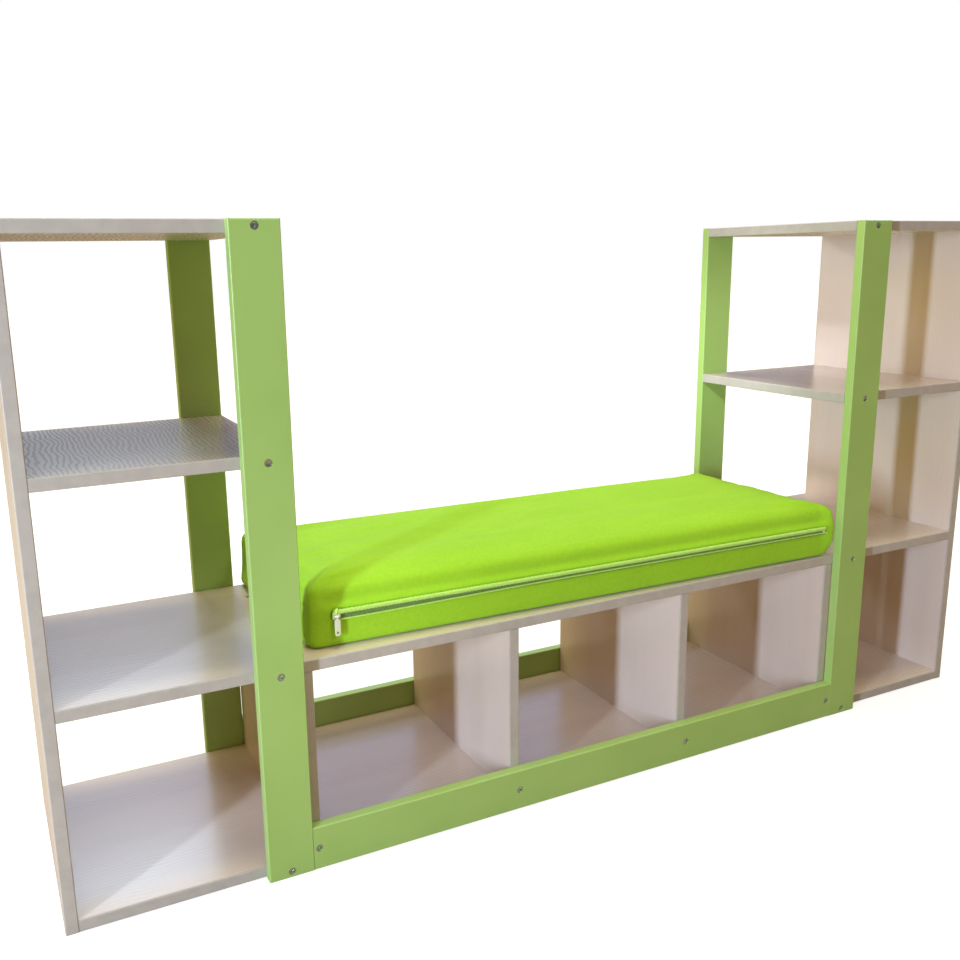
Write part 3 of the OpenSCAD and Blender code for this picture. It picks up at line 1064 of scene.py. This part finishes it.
# The tape's dark green is partly its own colour and partly painted shade of the zip's recess.
tape_cloth_and_painted_shade = zip_fabric("green_tape_and_painted_shade", (0.18, 0.31, 0.06, 1), (0.14, 0.25, 0.045, 1))
coil_plastic_and_painted_shade = finish_material("green_coil_and_painted_shade", plastic_coil)
zip_paint = finish_material(
    "cream_zip_metal", cream_metal, Metallic=0.35, Coat_Weight=0.4, Coat_Roughness=0.15
)
for piece in (zip_edges, tapes, loop, stop_pair):
    set_points(piece, settle(points_of(piece)))
    piece.data.transform(lay_on_seat)
    smooth(piece, 40)
fit(zip_edges, "cushion", "cover_cloth", edge_cloth_painted_highlight)
fit(tapes, "cushion", "zip_tape", tape_cloth_and_painted_shade, "zip_tapes")
fit(loop, "cushion", "zip_coil", coil_plastic_and_painted_shade, "zip_coil")
fit(stop_pair, "cushion", "zip_metal", zip_paint, "zip_stops")

# %% [markdown]
# ## Slider and pull tab
# The slider is a small cast wedge, wide at one end and narrow at the other, with a bridge over
# its face. The bridge is half a ring: a torus cut by bisect. The tab is a stamped plate with an
# eye round the bridge and a round hole at its free end. They are made in the cushion's own
# space, where the zip runs along x, and are laid on the seat last.

# %% Slider
slider_x = (to_cushion @ middle("zip_slider")).x
slider_y = face_y - 0.0025
cast_l, cast_t, cast_w = 0.011, 0.0026, 0.0085
step_in, step_h = 0.0011, 0.0004
bridge_r, bridge_wire_r, bridge_out = 0.0036, 0.0008, 0.0025
bridge_foot = 0.0006
slider = begin(
    "zip_slider_cast", bpy.ops.mesh.primitive_cube_add, size=1,
    location=(slider_x, slider_y + cast_t / 2, zip_z), scale=(cast_l, cast_t, cast_w),
)
select(slider, "FACE", lambda face: face.normal.x > 0.9)
narrow_end = (slider_x + cast_l / 2, slider_y + cast_t / 2, zip_z)
bpy.ops.transform.resize(value=(1, 0.9, 0.62), center_override=narrow_end)
select(slider, "FACE", lambda face: face.normal.y < -0.9)
bpy.ops.mesh.inset(thickness=step_in)
bpy.ops.mesh.extrude_region_move(TRANSFORM_OT_translate={"value": (0, -step_h, 0)})
end_edit()
round_edges(slider, 0.0006, 3, 30)
bridge_mid = (slider_x, slider_y, zip_z)
bridge = begin(
    "bridge", bpy.ops.mesh.primitive_torus_add, major_segments=32, minor_segments=12,
    major_radius=bridge_r, minor_radius=bridge_wire_r, location=bridge_mid,
)
bpy.ops.mesh.bisect(
    plane_co=(slider_x, slider_y + bridge_foot, zip_z), plane_no=(0, 1, 0),
    use_fill=True, clear_outer=True,
)
bpy.ops.mesh.select_all(action="SELECT")
bpy.ops.transform.resize(value=(1, bridge_out / bridge_r, 1), center_override=bridge_mid)
end_edit()
slider = join("zip_slider_cast", [slider, bridge])
print("the slider sits at", round(slider_x, 4), "m along the cushion")

# %% Pull tab
tab_l, tab_w, tab_t = 0.0272, 0.008, 0.0012
neck_l = 0.0035
eye_r, eye_hole_r, eye_w = 0.0019, 0.00115, 0.0034
end_hole_r, end_hole_in = 0.0019, 0.0046
eye_at = (slider_x, slider_y - bridge_out, zip_z)
end_hole_at = (slider_x, eye_at[1], zip_z - tab_l + end_hole_in)
along_x, along_y = (0, math.pi / 2, 0), (math.pi / 2, 0, 0)


def tab_corner(low, high):
    """A test for the plate's corner edges between two heights, measured from the eye."""
    def test(edge):
        first, last = (vert.co for vert in edge.verts)
        return abs(first.y - last.y) > tab_t / 2 and low < first.z - zip_z < high

    return test


tab = begin(
    "pull_tab_plate", bpy.ops.mesh.primitive_cube_add, size=1,
    location=(slider_x, eye_at[1], zip_z - neck_l - (tab_l - neck_l) / 2),
    scale=(tab_w, tab_t, tab_l - neck_l),
)
select(tab, "EDGE", tab_corner(-tab_l - 0.001, -0.02))
bpy.ops.mesh.bevel(offset=0.0034, segments=8, affect="EDGES")
select(tab, "EDGE", tab_corner(-0.005, 0))
bpy.ops.mesh.bevel(offset=0.0024, segments=4, affect="EDGES")
end_edit()
neck = begin(
    "neck", bpy.ops.mesh.primitive_cube_add, size=1,
    location=(slider_x, eye_at[1], zip_z - 0.003), scale=(eye_w, tab_t, 0.004),
)
end_edit()
cut(tab, neck, "UNION")
eye = begin(
    "eye", bpy.ops.mesh.primitive_cylinder_add, vertices=32, radius=eye_r, depth=eye_w,
    location=eye_at, rotation=along_x,
)
end_edit()
cut(tab, eye, "UNION")
for at, radius, turn in ((eye_at, eye_hole_r, along_x), (end_hole_at, end_hole_r, along_y)):
    hole = begin(
        "hole", bpy.ops.mesh.primitive_cylinder_add, vertices=32, radius=radius, depth=0.02,
        location=at, rotation=turn,
    )
    end_edit()
    cut(tab, hole)
round_edges(tab, 0.0002, 2, 40)
for piece, body, node in ((slider, "slider", "zip_slider"), (tab, "tab", "pull_tab")):
    piece.data.transform(lay_on_seat)
    smooth(piece)
    fit(piece, body, "zip_metal", zip_paint, node)
